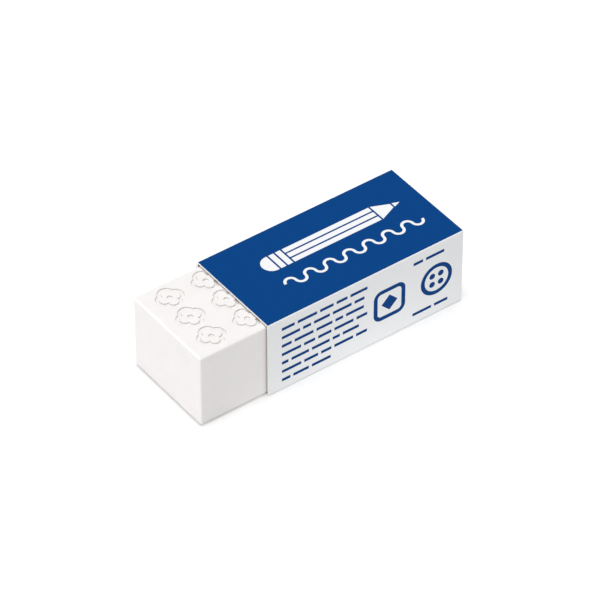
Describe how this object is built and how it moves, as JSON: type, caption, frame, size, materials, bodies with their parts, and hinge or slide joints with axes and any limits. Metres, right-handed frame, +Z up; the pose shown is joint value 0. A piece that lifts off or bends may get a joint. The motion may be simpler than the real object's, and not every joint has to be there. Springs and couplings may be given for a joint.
{
  "type": "rubber eraser",
  "caption": "White vinyl eraser block that slides in a card sleeve folded from one printed blank.",
  "frame": {"origin": "centre of the bounding box, on the surface that the sleeve rests on", "axes": "+X along the length towards the sleeve's rear end, with the block's bare end at -X; the printed long side faces -Y; +Z up"},
  "size_m": [0.0505, 0.0192, 0.0147],
  "materials": {
    "vinyl": "soft matte, moulded and cut",
    "card": "smooth coated white card",
    "ink": "flat deep blue offset print"
  },
  "bodies": {
    "sleeve": {"card_sleeve": "card"},
    "block": {"eraser_block": "vinyl"}
  },
  "joints": [
    {"name": "block_slide", "type": "slide", "parent": "sleeve", "child": "block", "axis": [-1, 0, 0], "range_m": [-0.0125, 0.025]}
  ]
}
